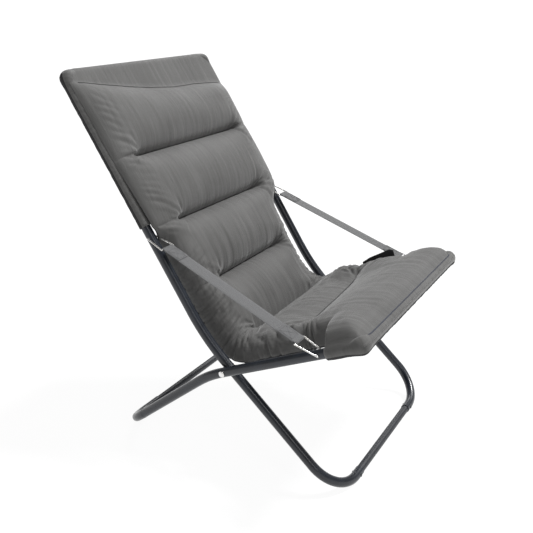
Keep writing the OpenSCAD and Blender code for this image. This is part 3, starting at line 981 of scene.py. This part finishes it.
def rim_flap():
    """The far rim of the seat, turned up, in near-black painted shade."""
    start, end = 138, 232                              # distances from the pivot
    spots = np.linspace(start, end, 26)
    foot = np.interp(spots, [start, 185, end], [40, 40, 36])
    rim = np.interp(spots, [start, 160, 190, 222, end], [57, 63, 67, 71, 66])
    rise = (0, 0.3, 0.6, 0.85, 1)
    ring = [(q, 1) for q in rise] + [(q, -1) for q in reversed(rise)]
    verts, quads = [], []
    for a, low_n, high_n in zip(spots, foot, rim):
        for q, side in ring:
            n = low_n + (high_n - low_n) * q
            x = 232 + 5 * q ** 2 + 1.6 * math.sin(a / 9 + 2 * q) + 0.8 * side
            verts.append(np.array([x, *seat_at(a, n)]) * MM)
    sides = len(ring)
    for k in range(len(spots) - 1):
        for m in range(sides):
            b, c = k * sides + m, k * sides + (m + 1) % sides
            quads.append((b, c, c + sides, b + sides))
    quads.append(tuple(reversed(range(sides))))
    quads.append(tuple(range(len(verts) - sides, len(verts))))
    return new_mesh("far_rim_flap", verts, quads)


flap = rim_flap()
flap.data.materials.append(PAINTED_SHADE)
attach(flap, "seat_frame")


# --------------------------------------------------------------- arm straps
STRAP_W = 36.0
WEB_T = 1.35
WIRE_R = 1.75
LAP_GAP = 0.15                     # between the webbing and what it lies on
EYE_R = WIRE_R + WEB_T / 2 + LAP_GAP
TAIL = 48.0                        # how far each end is turned back
CHAIN = turned(200.28)             # from the rear link's bar to the front link's bar
STRAP_UP = np.array([CHAIN[1], -CHAIN[0]])
REAR_EYE = np.array([108.63, 508.92])
STRAP_LEN = 368.5
FOLD, FOLD_REACH = 0.54, 26        # a share along the strap and a reach to each side; the points made from them are not used


def ribbon_points():
    """The strap's middle line from the rear eye, (along, up), turned back at both eyes."""
    tail_q = WEB_T + 0.1
    loop = [(-EYE_R * math.sin(g), EYE_R * math.cos(g)) for g in np.linspace(0.5, math.pi - 0.5, 9)]
    start = [(p, tail_q) for p in np.linspace(TAIL, 9, 10)] + [(4.5, tail_q + 0.5)]
    span = [(4.5, -0.6)] + [(p, 0.0) for p in np.arange(9, STRAP_LEN - 8.9, 6.0)]
    end = [(STRAP_LEN - p, q) for p, q in (start + loop + [(4.5, -0.6)])][::-1]
    return np.array(start + loop + span + end)


def make_strap(side, sign):
    line = ribbon_points()
    tangent = np.gradient(line, axis=0)
    tangent /= np.linalg.norm(tangent, axis=1)[:, None]
    normal = np.stack([-tangent[:, 1], tangent[:, 0]], 1)
    run = np.r_[0, np.cumsum(np.linalg.norm(np.diff(line, axis=0), axis=1))]
    across = np.array([-1, -0.97, -0.6, -0.2, 0.2, 0.6, 0.97, 1]) * STRAP_W / 2
    thick = np.array([0.45, 0.9, 1, 1, 1, 1, 0.9, 0.45]) * WEB_T / 2
    verts, uv_of = [], []
    m = len(across)
    for k, at in enumerate(line):
        shift = BACK_X + (SEAT_X - BACK_X) * np.clip(at[0] / STRAP_LEN, 0, 1)
        for face in (1, -1):
            order = range(m) if face == 1 else range(m - 1, -1, -1)
            for j in order:
                p, q = at + face * thick[j] * normal[k]
                yz = REAR_EYE + p * CHAIN + q * STRAP_UP
                verts.append(np.array([sign * (shift + across[j]), yz[0], yz[1]]) * MM)
                uv_of.append((across[j] * MM, run[k] * MM))
    ring = 2 * m
    quads = []
    for k in range(len(line) - 1):
        for j in range(ring):
            a, b = k * ring + j, k * ring + (j + 1) % ring
            quads.append((a, a + ring, b + ring, b))
    for k in (0, len(line) - 1):
        for j in range(m - 1):
            a, b = k * ring + j, k * ring + j + 1
            c, d = k * ring + ring - 2 - j, k * ring + ring - 1 - j
            quads.append((a, b, c, d) if k == 0 else (d, c, b, a))
    if sign < 0:
        quads = [tuple(reversed(f)) for f in quads]
    obj = new_mesh("arm_strap_webbing_" + side, verts, quads)
    lay = obj.data.uv_layers.new(name="cloth_uv")
    for loop in obj.data.loops:
        lay.data[loop.index].uv = uv_of[loop.vertex_index]
    obj.data.materials.append(WEB)
    mid = REAR_EYE + CHAIN * STRAP_LEN * FOLD
    a, b = mid - CHAIN * FOLD_REACH, mid + CHAIN * FOLD_REACH
    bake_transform(obj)
    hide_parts("arm_strap_rear_" + side, "arm_strap_front_" + side)
    # A boxed cross of stitches at each folded end
    for name, p0, p1, body in (("rear", 12.0, TAIL - 4, "strap_rear_"),
                               ("front", STRAP_LEN - TAIL + 4, STRAP_LEN - 12.0, "strap_front_")):
        h = STRAP_W / 2 - 4
        corners = [(p0, -h), (p1, -h), (p1, h), (p0, h), (p0, -h), (p1, h), (p0, h), (p1, -h)]
        pts, ups = [], []
        for (pa, xa), (pb, xb) in zip(corners[:-1], corners[1:]):
            n = int(max(abs(pb - pa), abs(xb - xa)) / 2) + 1
            for q in np.linspace(0, 1, n, endpoint=False):
                p, x = pa + (pb - pa) * q, xa + (xb - xa) * q
                shift = BACK_X + (SEAT_X - BACK_X) * p / STRAP_LEN
                yz = REAR_EYE + p * CHAIN + (1.5 * WEB_T + LAP_GAP) * STRAP_UP
                pts.append(np.array([sign * (shift + x), yz[0], yz[1]]) * MM)
                ups.append([0, *STRAP_UP])
        cross = stitches("strap_%s_stitches_%s" % (name, side), pts, np.array(ups),
                         pitch=0.003, length=0.0022, radius=0.00035)
        cross.data.materials.append(THREAD)
        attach(cross, body + side)


make_strap("right", -1)
make_strap("left", 1)

# ------------------------------------------------------- floor, light, camera
REACH = 400.0
corners = [(-REACH, -REACH, 0), (REACH, -REACH, 0), (REACH, REACH, 0), (-REACH, REACH, 0)]
floor = new_mesh("floor", corners, [(0, 1, 2, 3)], smooth_shade=False)
floor_mat, _, floor_bsdf = nodes_of("pale_floor")
floor_bsdf.inputs["Base Color"].default_value = (0.12, 0.12, 0.12, 1)
floor_bsdf.inputs["Roughness"].default_value = 0.95
floor_bsdf.inputs["Specular IOR Level"].default_value = 0.0
floor_bsdf.inputs["Emission Color"].default_value = (1, 1, 1, 1)
floor_bsdf.inputs["Emission Strength"].default_value = 0.93
floor.data.materials.append(floor_mat)

scene = bpy.context.scene
world = bpy.data.worlds.new("studio")
world.use_nodes = True
way = add(world.node_tree, "ShaderNodeTexCoord").outputs["Generated"]
split = add(world.node_tree, "ShaderNodeSeparateXYZ")
world.node_tree.links.new(way, split.inputs[0])
sky = ramp(world.node_tree, split.outputs["Z"], [(0.13, (1.0,) * 3), (0.24, (0.27,) * 3)])
world.node_tree.links.new(sky, world.node_tree.nodes["Background"].inputs["Color"])
scene.world = world
scene.view_settings.view_transform = "Standard"


def aim(obj, direction):
    obj.rotation_mode = "QUATERNION"
    obj.rotation_quaternion = Vector(direction).to_track_quat("-Z", "Y")


def area_light(name, at, target, size, power):
    data = bpy.data.lights.new(name, "AREA")
    data.shape = "RECTANGLE"
    data.size, data.size_y = size
    data.energy = power
    obj = bpy.data.objects.new(name, data)
    obj.location = at
    aim(obj, Vector(target) - Vector(at))
    scene.collection.objects.link(obj)


sun_data = bpy.data.lights.new("key_light", "SUN")
sun_data.energy = 3.9
sun_data.angle = math.radians(16)
sun = bpy.data.objects.new("key_light", sun_data)
aim(sun, (-0.42, 0.3, -0.86))
scene.collection.objects.link(sun)
MIDDLE = (0, 0, 0.5)               # of the chair
area_light("rim_light", (2.6, 1.2, 2.2), MIDDLE, (1.2, 1.6), 25)
area_light("strip_light", (-1.6, -2.6, 2.4), MIDDLE, (0.5, 1.8), 12)

camera_data = bpy.data.cameras.new("camera")
camera_data.lens = 48.15
camera_data.sensor_width = 36
camera_data.shift_x, camera_data.shift_y = -0.0028, 0.0049
camera = bpy.data.objects.new("camera", camera_data)
forward = Vector((0.8057, 0.4649, -0.3670)).normalized()
turn = forward.to_track_quat("-Z", "Y").to_matrix() @ Matrix.Rotation(0.0084, 3, "Z")
camera.matrix_world = Matrix.Translation((-1.4388, -0.8267, 1.0458)) @ turn.to_4x4()
scene.collection.objects.link(camera)
scene.camera = camera
